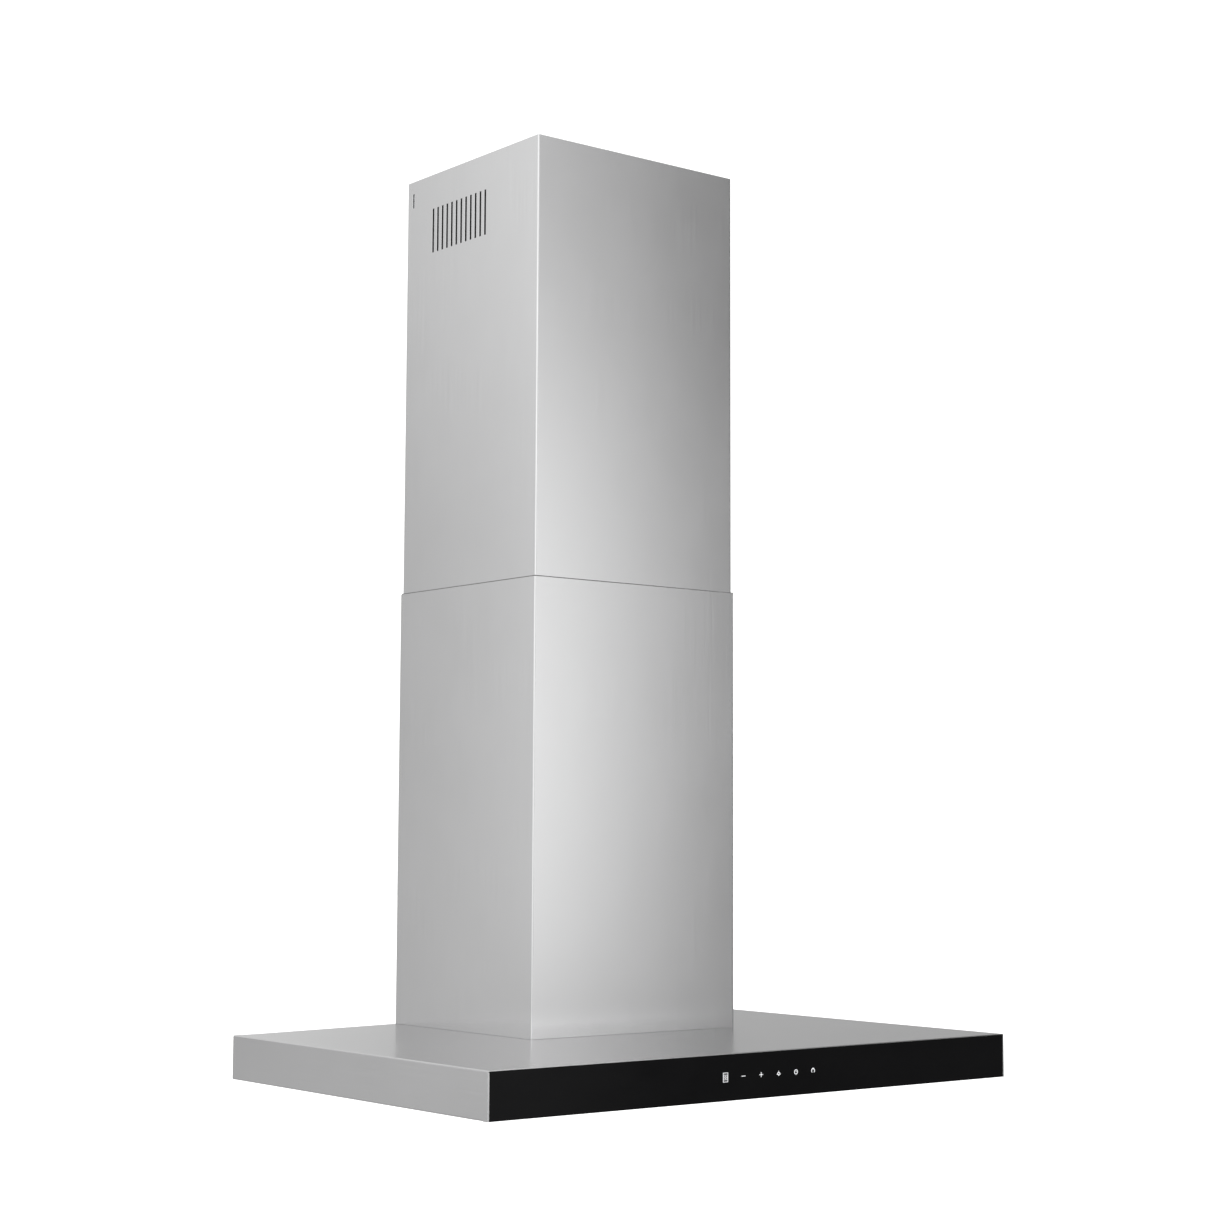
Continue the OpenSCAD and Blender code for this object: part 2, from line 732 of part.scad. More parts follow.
module motor_axis() {
    translate([0, fan_y, fan_z]) rotate([0, 90, 0]) children();
}

module motor_case() color(zinc) motor_axis() difference() {
    translate([0, 0, motor_x0]) cylinder(r = motor_r, h = motor_x1 - motor_x0);
    translate([0, 0, motor_x0 + case_t + bearing_t])
        cylinder(r = motor_r - case_t, h = motor_x1 - motor_x0 - 2 * case_t - 2 * bearing_t);
    translate([0, 0, motor_x0 + case_t]) cylinder(r = bearing_r, h = motor_x1 - motor_x0 - 2 * case_t);
    translate([0, 0, motor_x0 - 1]) cylinder(r = shaft_r + 1, h = motor_x1 - motor_x0 + 2);
}

module motor_stator() color(copper) motor_axis()
    translate([0, 0, motor_x0 + case_t + bearing_t + winding_gap]) difference() {
        h = motor_x1 - motor_x0 - 2 * (case_t + bearing_t + winding_gap);
        cylinder(r = motor_r - case_t, h = h);
        translate([0, 0, -1]) cylinder(r = stator_r0, h = h + 2);
    }

module motor_rotor() color("#6a6d70") motor_axis()
    translate([0, 0, motor_x0 + case_t + bearing_t + winding_gap]) difference() {
        h = motor_x1 - motor_x0 - 2 * (case_t + bearing_t + winding_gap);
        cylinder(r = rotor_r, h = h);
        translate([0, 0, -1]) cylinder(r = shaft_r, h = h + 2);
    }

module motor_shaft() color(bright) motor_axis()
    translate([0, 0, -14]) cylinder(r = shaft_r, h = motor_x1 + 14 - case_t);

module motor_bearings() color(copper) motor_axis()
    for (z = [motor_x0 + case_t, motor_x1 - case_t - bearing_t]) translate([0, 0, z]) difference() {
        cylinder(r = bearing_r, h = bearing_t);
        translate([0, 0, -1]) cylinder(r = shaft_r + run_gap, h = bearing_t + 2);
    }

module motor_bracket() color(zinc) motor_axis() translate([0, 0, motor_x1]) difference() {
    union() {
        cylinder(r = motor_r - 2, h = plate_t);
        for (a = arm_angles) rotate(a) {
            translate([0, -arm_w / 2, 0]) cube([arm_r, arm_w, plate_t]);
            translate([arm_r, 0, 0]) cylinder(r = arm_w / 2, h = plate_t);
        }
    }
    translate([0, 0, -1]) cylinder(r = bracket_bore_r, h = plate_t + 2);
    for (a = arm_angles) rotate(a) translate([arm_r, 0, -1]) cylinder(r = arm_hole_r, h = plate_t + 2);
}

module motor_rubbers() color(black) motor_axis()
    for (a = arm_angles) rotate(a) translate([arm_r, 0, scroll_x]) difference() {
        cylinder(r = rubber_r, h = motor_x1 - scroll_x);
        translate([0, 0, -1]) cylinder(r = arm_hole_r, h = motor_x1 - scroll_x + 2);
    }

module capacitor() color(plastic) {
    x = box_x - sheet - cap_r - 1;
    y = y_box0 + cap_back;
    z = cap_z0 + cap_clip[0];
    rod_z(cap_r, cap_z0, cap_z0 + cap_h, -x, y);
    block([-box_x + sheet, y - cap_r * 2 / 3, z], [-x, y + cap_r * 2 / 3, cap_z0 + cap_clip[1]]);
}

// Control box
module control_box() color(zinc) difference() {
    block([-ctrl_w / 2, ctrl_y0, z_box], [ctrl_w / 2, ctrl_y1, z_box + ctrl_h - sheet]);
    block([-ctrl_w / 2 + sheet, ctrl_y0 + sheet, z_box + sheet],
        [ctrl_w / 2 - sheet, ctrl_y1 - sheet, z_box + ctrl_h]);
    rod_x(gland_r + 1.5, -ctrl_w, 0, y_ctrl, z_gland);
    rod_z(wire_hole_r, z_box - 5, z_box + 5, wire_x, y_ctrl);
}

module control_lid() color(steel) difference() {
    block([-ctrl_w / 2 - sheet, ctrl_y0 - sheet, z_box + ctrl_h - lid_h],
        [ctrl_w / 2 + sheet, ctrl_y1 + sheet, z_box + ctrl_h]);
    block([-ctrl_w / 2, ctrl_y0, z_box + ctrl_h - lid_h - 1],
        [ctrl_w / 2, ctrl_y1, z_box + ctrl_h - sheet]);
}

module control_board() color(board_green) {
    x0 = -72;
    x1 = 42;
    z = z_board + board_t;
    block([x0, ctrl_y0 + 6, z_board], [x1, ctrl_y1 - 6, z]);
    for (x = [x0 + 8, x1 - 8], k = [-18, 18]) rod_z(2.5, z_box + sheet, z_board, x, y_ctrl + k);
    // Transformer and relay
    block([-20, y_ctrl - 18, z], [20, y_ctrl + 18, z + 15]);
    block([24, y_ctrl - 14, z], [38, y_ctrl + 14, z + 7]);
}

module terminal_block() color(plastic)
    block([-66, y_ctrl - 16, z_board + board_t], [-52, y_ctrl + 16, z_board + 17]);

module cable_gland() color(black) difference() {
    union() {
        rod_x(gland_r + 1.5, -ctrl_w / 2 - 14, -ctrl_w / 2 + 8, y_ctrl, z_gland);
        translate([-ctrl_w / 2 - 5, y_ctrl, z_gland]) rotate([0, 90, 0])
            cylinder(r = gland_r + 5, h = 5, $fn = 6);
        translate([-ctrl_w / 2 + sheet, y_ctrl, z_gland]) rotate([0, 90, 0])
            cylinder(r = gland_r + 4, h = 4, $fn = 6);
    }
    rod_x(gland_r, -ctrl_w / 2 - 20, -ctrl_w / 2 + 10, y_ctrl, z_gland);
}

// Outlet
module outlet_collar() color("#8d9194") translate([0, duct_y, 0]) {
    difference() {
        union() {
            rod_z(collar_r, z_box, z_box + collar_h, 0, 0);
            rod_z(flange_r, z_box, z_box + collar_foot, 0, 0);
        }
        rod_z(bore_r, z_box - 1, z_box + collar_h + 1, 0, 0);
        rod_x(flap_pin_r + run_gap, -collar_r - 1, collar_r + 1, 0, z_flap);
        for (q = collar_screws) rod_z(screw_hole_r, z_box - 1, z_box + 4, q[0], q[1] - duct_y);
    }
    // Stops under the flaps' free edges
    intersection() {
        for (k = [-1, 1]) translate([0, k * (bore_r - 3), 0])
            block([-8, -3, z_flap - flap_t / 2 - 4], [8, 3, z_flap - flap_t / 2 - 0.1]);
        rod_z(bore_r + 0.2, z_box, z_box + collar_h, 0, 0);
    }
}

// One flap lies on the side k of the pin, with knuckles at every second place
module flap(k) color(black) translate([0, duct_y, z_flap]) {
    step = knuckle_w + knuckle_gap;
    first = k < 0 ? -2.5 * step : -1.5 * step;
    intersection() {
        translate([0, 0, -flap_t / 2]) cylinder(r = flap_r, h = flap_t);
        block([-flap_r, k < 0 ? -flap_r : flap_root, -5], [flap_r, k < 0 ? -flap_root : flap_r, 5]);
    }
    for (i = [0:2]) translate([first + i * 2 * step, 0, 0]) difference() {
        union() {
            rod_x(knuckle_r, -knuckle_w / 2, knuckle_w / 2, 0, 0);
            block([-knuckle_w / 2, k < 0 ? -flap_root - 1 : 0, -flap_t / 2],
                [knuckle_w / 2, k < 0 ? 0 : flap_root + 1, flap_t / 2]);
        }
        rod_x(flap_pin_r + run_gap, -knuckle_w, knuckle_w, 0, 0);
    }
}

module flap_pin() color(bright) rod_x(flap_pin_r, -collar_r, collar_r, duct_y, z_flap);

// Flues: a folded U of sheet with flanges along the wall
module flue2(x, y0, y1) {
    difference() {
        union() {
            rounded([-x, y0], [x, y1], fold_r);
            translate([-x, (y0 + y1) / 2]) square([2 * x, y1 - (y0 + y1) / 2]);
        }
        rounded([-x + sheet, y0 + sheet], [x - sheet, y1 - sheet], fold_r - sheet);
        translate([-x + sheet, (y0 + y1) / 2]) square([2 * (x - sheet), y1 - sheet - (y0 + y1) / 2]);
        translate([-x + flange_w, y1 - sheet - 1]) square([2 * (x - flange_w), sheet + 2]);
    }
}

module lower_flue() color(steel)
    translate([0, 0, z_hip]) linear_extrude(lower_flue_h) flue2(flue_x, -flue_d, 0);

module upper_flue() color(steel) difference() {
    translate([0, 0, z_split - flue_lap]) linear_extrude(flue_reach + flue_lap)
        flue2(upper_x, upper_y0, upper_y1);
    for (i = [0:louvre_count - 1], s = [-1, 1])
        translate([s * upper_x, -louvre_back - i * louvre_pitch, z_crown - louvre_drop - louvre_h])
            block([-3, -louvre_w / 2, 0], [3, louvre_w / 2, louvre_h]);
    for (s = [-1, 1]) translate([s * upper_x, slot_y, z_crown - slot_drop - slot_h])
        block([-3, -slot_w / 2, 0], [3, slot_w / 2, slot_h]);
}

// Plates behind the louvres, which stay closed while the hood blows into a duct
module louvre_blanks() color(black) {
    y1 = -louvre_back + louvre_pitch;
    y0 = -louvre_back - louvre_count * louvre_pitch;
    z1 = z_crown - louvre_drop + blank_lap;
    z0 = z1 - louvre_h - 2 * blank_lap;
    pair([upper_x - sheet - blank_t, y0, z0], [upper_x - sheet, y1, z1]);
}

// Brackets
module wall_bracket() color(zinc) {
    difference() {
        block([-hang_pitch / 2 - 20, -plate_t, -24], [hang_pitch / 2 + 20, 0, 24]);
        for (x = [-1, 1]) rod_y(hang_r, -5, 5, x * hang_pitch / 2, 0);
    }
    for (x = [-hook_x, hook_x]) {
        block([x - hook_w / 2, y_hook - hook_lip, -hook_t / 2], [x + hook_w / 2, -plate_t, hook_t / 2]);
        block([x - hook_w / 2, y_hook - hook_lip, hook_t / 2], [x + hook_w / 2, y_hook, 1.5 * hook_t]);
    }
}

module flue_bracket() color(zinc) {
    z = z_crown - crown_drop;
    arm_x = upper_x - flange_w - 3;
    tab_x = upper_x - sheet - 0.4;
    tab_y = upper_y1 - sheet - 24;
    difference() {
        union() {
            block([-arm_x, -bracket_t, z - 14], [arm_x, 0, z + 14]);
            for (s = [0, 1]) mirror([s, 0, 0]) {
                block([arm_x - bracket_t, tab_y, z - 14], [arm_x, 0, z + 14]);
                block([arm_x - bracket_t, tab_y, z - 14], [tab_x, tab_y + bracket_t, z + 14]);
                block([tab_x - bracket_t, tab_y, z - 14], [tab_x, upper_y1 - sheet - 2, z + 14]);
            }
        }
        for (x = [-1, 1]) {
            rod_y(wall_hole_r, -5, 5, x * crown_pitch / 2, z);
            translate([x * tab_x, 0, 0]) rod_x(1.7, -3, 3, slot_y, z);
        }
    }
}

module flue_locators() color(zinc) for (s = [0, 1]) mirror([s, 0, 0]) {
    x = flue_x - sheet - 0.3;
    y = -flue_d + 20;
    block([x - bracket_t, y, z_hip], [x, y + 30, z_hip + 14]);
}

module wiring() color("#c9c9c4") {
    z_in = z_box + 12;
    x_end = 38;
    // From the motor up through the box's top to the relay
    x_motor = motor_x1 + plate_t;
    y_up = y_ctrl + 2;
    cable(2.5, [[x_motor, fan_y, fan_z + 26], [x_motor + 27, fan_y, fan_z + 30],
        [x_motor + 22, fan_y, z_box - 40], [wire_x - 3, y_up + 12, z_box - 14],
        [wire_x - 3, y_up, z_box - 4], [wire_x - 3, y_up, z_in], [x_end, y_up, z_in]]);
    // From the touch board back along the canopy and up into the box
    x_side = box_x - 28;
    y_side = y_box0 + 30;
    z_low = z_marks + 15;
    cable(2, [[30, y_channel + sheet + channel_d - 2, z_marks + 6], [30, y_lamp - 30, z_low],
        [x_side, y_side, z_low], [x_side, y_side, z_hip + 20], [x_side + 8, y_side, z_box - 40],
        [wire_x + 15, y_side - 4, z_box - 16], [wire_x + 3, y_ctrl - 2, z_box - 8],
        [wire_x + 3, y_ctrl - 2, z_in], [x_end, y_ctrl - 6, z_in]]);
}

module scroll_screws() color(bright) for (a = ear_angles) {
    rod_x(scroll_screw_r, -scroll_ear_t - 0.5, scroll_ear_t, ear_y(a), ear_z(a));
    rod_x(2 * scroll_screw_r, scroll_ear_t, scroll_ear_t + 2, ear_y(a), ear_z(a));
}

module sheet_screw() {
    cylinder(r = screw_head_r, h = screw_head_h);
    translate([0, 0, -3]) cylinder(r = screw_r, h = 3);
}

module sheet_screws() color(bright) {
    for (q = foot_screws) translate([q[0], q[1], z_hip + sheet]) sheet_screw();
    for (q = cover_screws) translate([q[0], y_box0, q[1]]) rotate([90, 0, 0]) sheet_screw();
    for (q = collar_screws) translate([q[0], q[1], z_box + collar_foot]) sheet_screw();
}

canopy_skirt();
canopy_top();
canopy_back();
front_channel();
glass_front();
glass_tape();
touch_marks();
led_display();
touch_board();
touch_springs();
board_cover();
bottom_pan();
for (s = sides) {
    lamp_bezel(s[1]);
    lamp_lens(s[1]);
    lamp_body(s[1]);
    filter_frame(s[1]);
    baffles(s[1]);
    filter_catch(s[1]);
    catch_spring(s[1]);
    scroll_half(s[1]);
    inlet_ring(s[1]);
}
led_driver();
blower_box();
blower_cover();
impeller();
motor_case();
motor_stator();
motor_rotor();
motor_shaft();
motor_bearings();
motor_bracket();
motor_rubbers();
capacitor();
control_box();
control_lid();
control_board();
terminal_block();
cable_gland();
outlet_collar();
flap(-1);  // flap_front
flap(1);  // flap_rear
flap_pin();
lower_flue();
upper_flue();
louvre_blanks();
wall_bracket();
flue_bracket();
flue_locators();
wiring();
scroll_screws();
sheet_screws();
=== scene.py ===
# Wall-mounted chimney hood: finishes, fine detail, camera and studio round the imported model.
# Metres throughout. X runs right, the room is towards -Y, Z is up.
import json
import math

import bmesh
import bpy
from mathutils import Matrix, Vector


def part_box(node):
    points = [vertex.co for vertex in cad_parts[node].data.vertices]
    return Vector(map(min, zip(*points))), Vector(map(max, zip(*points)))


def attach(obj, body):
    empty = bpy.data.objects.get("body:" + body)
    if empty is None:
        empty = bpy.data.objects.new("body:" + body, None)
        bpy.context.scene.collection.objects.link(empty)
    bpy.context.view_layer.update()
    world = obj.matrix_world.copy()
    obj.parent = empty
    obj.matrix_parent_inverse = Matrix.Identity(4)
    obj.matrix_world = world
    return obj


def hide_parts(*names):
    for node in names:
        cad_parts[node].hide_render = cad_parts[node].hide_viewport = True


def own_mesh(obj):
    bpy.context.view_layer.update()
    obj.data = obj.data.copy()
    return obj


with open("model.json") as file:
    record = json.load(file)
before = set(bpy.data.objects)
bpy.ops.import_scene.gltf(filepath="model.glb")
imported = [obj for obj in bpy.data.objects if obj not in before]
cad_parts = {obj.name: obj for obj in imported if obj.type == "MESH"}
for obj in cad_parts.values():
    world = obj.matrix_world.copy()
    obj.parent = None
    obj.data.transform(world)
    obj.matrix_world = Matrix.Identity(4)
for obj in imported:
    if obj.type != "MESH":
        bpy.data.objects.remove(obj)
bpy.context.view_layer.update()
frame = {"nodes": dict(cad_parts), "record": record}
nodes = frame["nodes"]
weldDistance = 0.000004
print("frame loaded:", len(nodes), "nodes")


class Wire:
    # One number in a shader. Python's operators add the Math nodes.
    def __init__(self, board, socket):
        self.board = board
        self.socket = socket

    def join(self, operation, *others):
        inputs = dict(enumerate([self.socket] + [getattr(o, "socket", o) for o in others]))
        return self.board.add("ShaderNodeMath", {"operation": operation}, inputs)

    def __add__(self, other):
        return self.join("ADD", other)

    def __sub__(self, other):
        return self.join("SUBTRACT", other)

    def __mul__(self, other):
        return self.join("MULTIPLY", other)

    def __truediv__(self, other):
        return self.join("DIVIDE", other)

    def __radd__(self, other):
        return self.join("ADD", other)

    def __rmul__(self, other):
        return self.join("MULTIPLY", other)

    def __rsub__(self, other):
        return self.join("MULTIPLY", -1).join("ADD", other)

    def above(self, other):
        return self.join("GREATER_THAN", other)

    def fraction(self):
        return self.join("FRACT")

    def sine(self):
        return self.join("SINE")

    def size(self):
        return self.join("ABSOLUTE")

    def ease(self, start, end):
        # 0 before start, 1 after end, smooth between
        settings = {"interpolation_type": "SMOOTHSTEP"}
        return self.board.add("ShaderNodeMapRange", settings, {0: self.socket, 1: start, 2: end})


class Board:
    # The node tree of one finish, or of the world.
    def __init__(self, tree):
        self.tree = tree
        tree.nodes.clear()

    def add(self, kind, settings=None, inputs=None, output=0):
        node = self.tree.nodes.new(kind)
        for name, value in (settings or {}).items():
            if name == "stops":
                ramp = node.color_ramp.elements
                while len(ramp) < len(value):
                    ramp.new(0.5)
                for stop, (place, tone) in zip(ramp, value):
                    stop.position = place
                    stop.color = (*tone, 1)
            else:
                setattr(node, name, value)
        for key, value in (inputs or {}).items():
            self.feed(node.inputs[key], value)
        if node.outputs:
            return Wire(self, node.outputs[output])

    def feed(self, socket, value):
        value = getattr(value, "socket", value)
        if isinstance(value, bpy.types.NodeSocket):
            self.tree.links.new(value, socket)
        elif isinstance(value, tuple) and len(value) == 3 and socket.type == "RGBA":
            socket.default_value = (*value, 1)
        else:
            socket.default_value = value

    def place(self, scale=(1, 1, 1), turn=(0, 0, 0)):
        # Object coordinates in metres, stretched and turned for a pattern
        coordinates = self.add("ShaderNodeTexCoord", output="Object")
        inputs = {"Vector": coordinates, "Scale": scale, "Rotation": turn}
        return self.add("ShaderNodeMapping", {"vector_type": "POINT"}, inputs)

    def noise(self, vector, scale, detail=2.0, roughness=0.5):
        inputs = {"Vector": vector, "Scale": scale, "Detail": detail, "Roughness": roughness}
        return self.add("ShaderNodeTexNoise", {}, inputs)

    def parts(self, vector):
        split = self.add("ShaderNodeSeparateXYZ", {}, {0: vector}).socket.node
        return [Wire(self, split.outputs[i]) for i in range(3)]

    def blend(self, factor, first, second):
        # A colour between two others
        settings = {"data_type": "RGBA"}
        return self.add("ShaderNodeMix", settings, {0: factor, 6: first, 7: second}, output=2)

    def bump(self, height, distance, strength=1.0):
        inputs = {"Strength": strength, "Distance": distance, "Height": height}
        return self.add("ShaderNodeBump", {}, inputs)


def newFinish(name):
    material = bpy.data.materials.new(name)
    material.use_nodes = True
    board = Board(material.node_tree)
    shader = board.add("ShaderNodeBsdfPrincipled")
    board.add("ShaderNodeOutputMaterial", {}, {"Surface": shader})

    def dress(sockets):
        for key, value in sockets.items():
            board.feed(shader.socket.node.inputs[key], value)
        return material
    return board, dress


def brushedSteel(name, light=0.585, dark=0.545, rough=0.21, grain=(2200, 2200, 9), depth=0.00001,
                 turned=False):
    # Sheet with fine lines drawn one way; turned: faces that look sideways have theirs along Y
    board, dress = newFinish(name)
    lines = board.noise(board.place(scale=grain), 1.0, 3.0, 0.6)
    if turned:
        sideways = board.noise(board.place(scale=(grain[1], grain[0], grain[2])), 1.0, 3.0, 0.6)
        sidewall = board.parts(board.add("ShaderNodeTexCoord", output="Normal"))[0].size().above(0.7)
        lines = lines + (sideways - lines) * sidewall
    clouds = board.noise(board.place(), 6.5, 3.0, 0.6)
    smudge = board.noise(board.place(scale=(1, 1, 0.6)), 23.0, 4.0, 0.65)
    tone = lines * 0.6 + clouds * 0.3 + smudge * 0.1
    colour = board.blend(tone.ease(0.3, 0.7), (dark, dark, dark * 1.004), (light, light, light * 1.006))
    return dress({"Base Color": colour, "Metallic": 1.0,
                  "Roughness": lines * 0.05 + clouds.ease(0.2, 0.8) * 0.012 + (rough - 0.03),
                  "Normal": board.bump(lines, depth, 0.5)})


def zincPlate(name, tone=0.47, rough=0.42):
    # Galvanised sheet: pale crystals of many turns under a dull skin
    board, dress = newFinish(name)
    inputs = {"Vector": board.place(), "Scale": 190.0, "Randomness": 1.0}
    cells = board.add("ShaderNodeTexVoronoi", {}, inputs, output="Color")
    facet = board.parts(cells)[0]
    haze = board.noise(board.place(), 40.0, 4.0, 0.6)
    shade = facet * 0.4 + haze * 0.6
    colour = board.blend(shade.ease(0.2, 0.8), (tone * 0.82, tone * 0.84, tone * 0.87),
                         (tone * 1.15, tone * 1.17, tone * 1.2))
    return dress({"Base Color": colour, "Metallic": 1.0,
                  "Roughness": facet * 0.12 + haze * 0.1 + (rough - 0.1),
                  "Normal": board.bump(haze, 0.00005, 0.4)})


def plainSteel(name, tone=0.5, rough=0.26):
    board, dress = newFinish(name)
    marks = board.noise(board.place(), 420.0, 4.0, 0.7)
    stain = board.noise(board.place(), 60.0, 2.0)
    colour = board.blend(marks * 0.5 + stain * 0.5, (tone * 0.8,) * 3,
                         (tone * 1.15, tone * 1.15, tone * 1.17))
    return dress({"Base Color": colour, "Metallic": 1.0, "Roughness": marks * 0.16 + (rough - 0.08),
                  "Normal": board.bump(marks, 0.00002, 0.5)})


def castAlloy(name, tone=0.55, rough=0.5):
    # Die-cast aluminium with a fine grain
    board, dress = newFinish(name)
    pebble = board.noise(board.place(), 900.0, 2.0, 0.6)
    flow = board.noise(board.place(), 45.0, 3.0)
    colour = board.blend(flow * 0.6 + pebble * 0.4, (tone * 0.85,) * 3, (tone * 1.1,) * 3)
    return dress({"Base Color": colour, "Metallic": 1.0, "Roughness": pebble * 0.2 + (rough - 0.1),
                  "Normal": board.bump(pebble, 0.00006, 0.7)})


def copperWinding(name, tone=(0.48, 0.19, 0.07), pitch=1400.0):
    # Enamelled wire laid side by side, its colour darker in the gaps between turns and lighter on their
    # crowns: painted shade and painted highlight, with a random drift in tone
    board, dress = newFinish(name)
    across = board.parts(board.place())
    wire = (across[0] * pitch * 6.2832 / 2).sine().size()
    drift = board.noise(board.place(), 120.0, 3.0)
    # Painted shade in the gaps between turns and painted highlight on their crowns, mixed with random drift
    colour = board.blend(wire * 0.6 + drift * 0.4, tuple(t * 0.45 for t in tone),
                         tuple(t * 1.25 for t in tone))
    return dress({"Base Color": colour, "Metallic": 0.8, "Roughness": drift * 0.2 + 0.28,
                  "Normal": board.bump(wire, 0.00025, 0.8)})


def blackGlass(name):
    # Printed black from behind, polished in front, with a faint film of handling
    board, dress = newFinish(name)
    film = board.noise(board.place(scale=(1, 1, 1.6)), 14.0, 5.0, 0.7)
    grit = board.noise(board.place(), 1500.0, 2.0)
    colour = board.blend(film, (0.0042, 0.0042, 0.0045), (0.0075, 0.0075, 0.008))
    return dress({"Base Color": colour, "Roughness": film.ease(0.35, 0.8) * 0.05 + grit * 0.02 + 0.035,
                  "Specular IOR Level": 0.08, "IOR": 1.5})


def mouldedPlastic(name, tone, rough=0.45, sheen=0.5, grain=0.00004, scale=900.0):
    # Spark-eroded texture with slight flow marks
    board, dress = newFinish(name)
    pebble = board.noise(board.place(), scale, 2.0, 0.6)
    flow = board.noise(board.place(), 30.0, 3.0)
    mix = pebble * 0.4 + flow * 0.6
    colour = board.blend(mix, tuple(t * 0.82 for t in tone), tuple(min(1, t * 1.12) for t in tone))
    return dress({"Base Color": colour, "Roughness": pebble * 0.14 + flow * 0.08 + (rough - 0.11),
                  "Specular IOR Level": sheen, "Normal": board.bump(pebble, grain, 0.6)})


def softRubber(name, tone=(0.022, 0.022, 0.023)):
    board, dress = newFinish(name)
    dust = board.noise(board.place(), 300.0, 5.0, 0.7)
    colour = board.blend(dust.ease(0.4, 0.8), tone, tuple(t * 2.1 + 0.004 for t in tone))
    return dress({"Base Color": colour, "Roughness": dust * 0.2 + 0.66, "Specular IOR Level": 0.35,
                  "Normal": board.bump(dust, 0.00006, 0.6)})


def circuitBoard(name):
    # Green mask over copper tracks, with tinned pads on a grid
    board, dress = newFinish(name)
    tracksPerMetre, padsPerMetre = 230, 197
    x, y, z = board.parts(board.place())
    wander = board.noise(board.place(), 70.0, 1.0)
    run = ((y + z) * tracksPerMetre + wander * 3.0).fraction()
    track = run.ease(0.42, 0.5) * (1 - run.ease(0.72, 0.8))
    across = (x * padsPerMetre).fraction() - 0.5
    up = ((y + z) * padsPerMetre).fraction() - 0.5
    pad = 1 - (across * across + up * up).ease(0.028, 0.045)
    square = board.add("ShaderNodeVectorMath", {"operation": "FLOOR"},
                       {0: board.place(scale=(padsPerMetre,) * 3)})
    chosen = board.add("ShaderNodeTexWhiteNoise", {"noise_dimensions": "3D"}, {"Vector": square})
    pad = pad * chosen.above(0.72)
    mask = board.blend(track, (0.006, 0.055, 0.022), (0.014, 0.105, 0.045))
    colour = board.blend(pad, mask, (0.62, 0.6, 0.55))
    return dress({"Base Color": colour, "Metallic": pad * 0.9, "Roughness": 0.34 + wander * 0.12,
                  "Coat Weight": 0.3, "Normal": board.bump(track + pad, 0.00004, 0.7)})


def frostedLens(name):
    # Moulded diffuser with rings of fine prisms
    board, dress = newFinish(name)
    frost = board.noise(board.place(), 1600.0, 2.0)
    bloom = board.noise(board.place(), 50.0, 2.0)
    colour = board.blend(frost * 0.5 + bloom * 0.5, (0.72, 0.73, 0.74), (0.88, 0.89, 0.9))
    return dress({"Base Color": colour, "Roughness": frost * 0.2 + 0.3, "Emission Color": (1.0, 0.96, 0.9),
                  "Emission Strength": 0.12, "Normal": board.bump(frost, 0.00003, 0.6)})


def printedMark(name, glow=0.55):
    # Screen-printed white lit from behind, a little uneven
    board, dress = newFinish(name)
    fleck = board.noise(board.place(), 2600.0, 2.0)
    colour = board.blend(fleck, (0.68, 0.69, 0.7), (0.86, 0.87, 0.88))
    return dress({"Base Color": colour, "Roughness": fleck * 0.2 + 0.4, "Emission Color": colour,
                  "Emission Strength": glow})


def foamTape(name):
    board, dress = newFinish(name)
    cells = board.add("ShaderNodeTexVoronoi", {}, {"Vector": board.place(), "Scale": 1500.0})
    colour = board.blend(cells.ease(0.1, 0.6), (0.012, 0.012, 0.013), (0.05, 0.05, 0.052))
    return dress({"Base Color": colour, "Roughness": cells * 0.2 + 0.75,
                  "Normal": board.bump(cells, 0.0001, 0.7)})


flueSteel = brushedSteel("flueSteel")
canopySteel = brushedSteel("canopySteel", grain=(9, 2200, 2200), turned=True)
filterSteel = brushedSteel("filterSteel", light=0.66, dark=0.56, rough=0.24, grain=(1500, 14, 1500))
zinc = zincPlate("zinc")
brightSteel = plainSteel("brightSteel")
alloy = castAlloy("alloy")
windings = copperWinding("windings")
glassBlack = blackGlass("glassBlack")
plasticBlack = mouldedPlastic("plasticBlack", (0.018, 0.018, 0.019), 0.42)
plasticGrey = mouldedPlastic("plasticGrey", (0.075, 0.08, 0.085), 0.48)
plasticWhite = mouldedPlastic("plasticWhite", (0.62, 0.62, 0.59), 0.4)
rubberBlack = softRubber("rubberBlack")
cableSheath = softRubber("cableSheath", (0.42, 0.42, 0.4))
boardGreen = circuitBoard("boardGreen")
lensFrost = frostedLens("lensFrost")
markWhite = printedMark("markWhite")
# Dark grey of the painted shade strip on the flue joint
edgingDark = mouldedPlastic("edgingDark", (0.16, 0.16, 0.16), 0.6)
blankDark = mouldedPlastic("blankDark", (0.012, 0.012, 0.013), 0.75, 0.1)
displayFace = printedMark("displayFace", 0.1)
tapeFoam = foamTape("tapeFoam")

finishOf = {"stainless": flueSteel, "zinc_plate": zinc, "spring_steel": brightSteel, "cast_alloy": alloy,
            "copper_winding": windings, "black_glass": glassBlack, "lamp_lens": lensFrost,
            "display_face": displayFace, "white_print": markWhite, "black_plastic": plasticBlack,
            "grey_plastic": plasticGrey, "white_plastic": plasticWhite, "circuit_board": boardGreen,
            "bonding_tape": tapeFoam, "black_rubber": rubberBlack, "wire_cover": cableSheath}
ownFinish = {"louvre_blanks": blankDark, "canopy_skirt": canopySteel, "canopy_top": canopySteel,
             "bottom_pan": canopySteel, "baffles_left": filterSteel, "baffles_right": filterSteel,
             "filter_frame_left": filterSteel, "filter_frame_right": filterSteel}
slotOf = {s["node"]: s["material_slot"] for s in frame["record"]["subparts"]}
bodyOf = {n: b for b, members in frame["record"]["behaviour"]["bodies"].items() for n in members}
for nodeName, cadObject in nodes.items():
    cadObject.data.materials.clear()
    cadObject.data.materials.append(ownFinish.get(nodeName, finishOf[slotOf[nodeName]]))
print("finishes set on", len(nodes), "nodes")


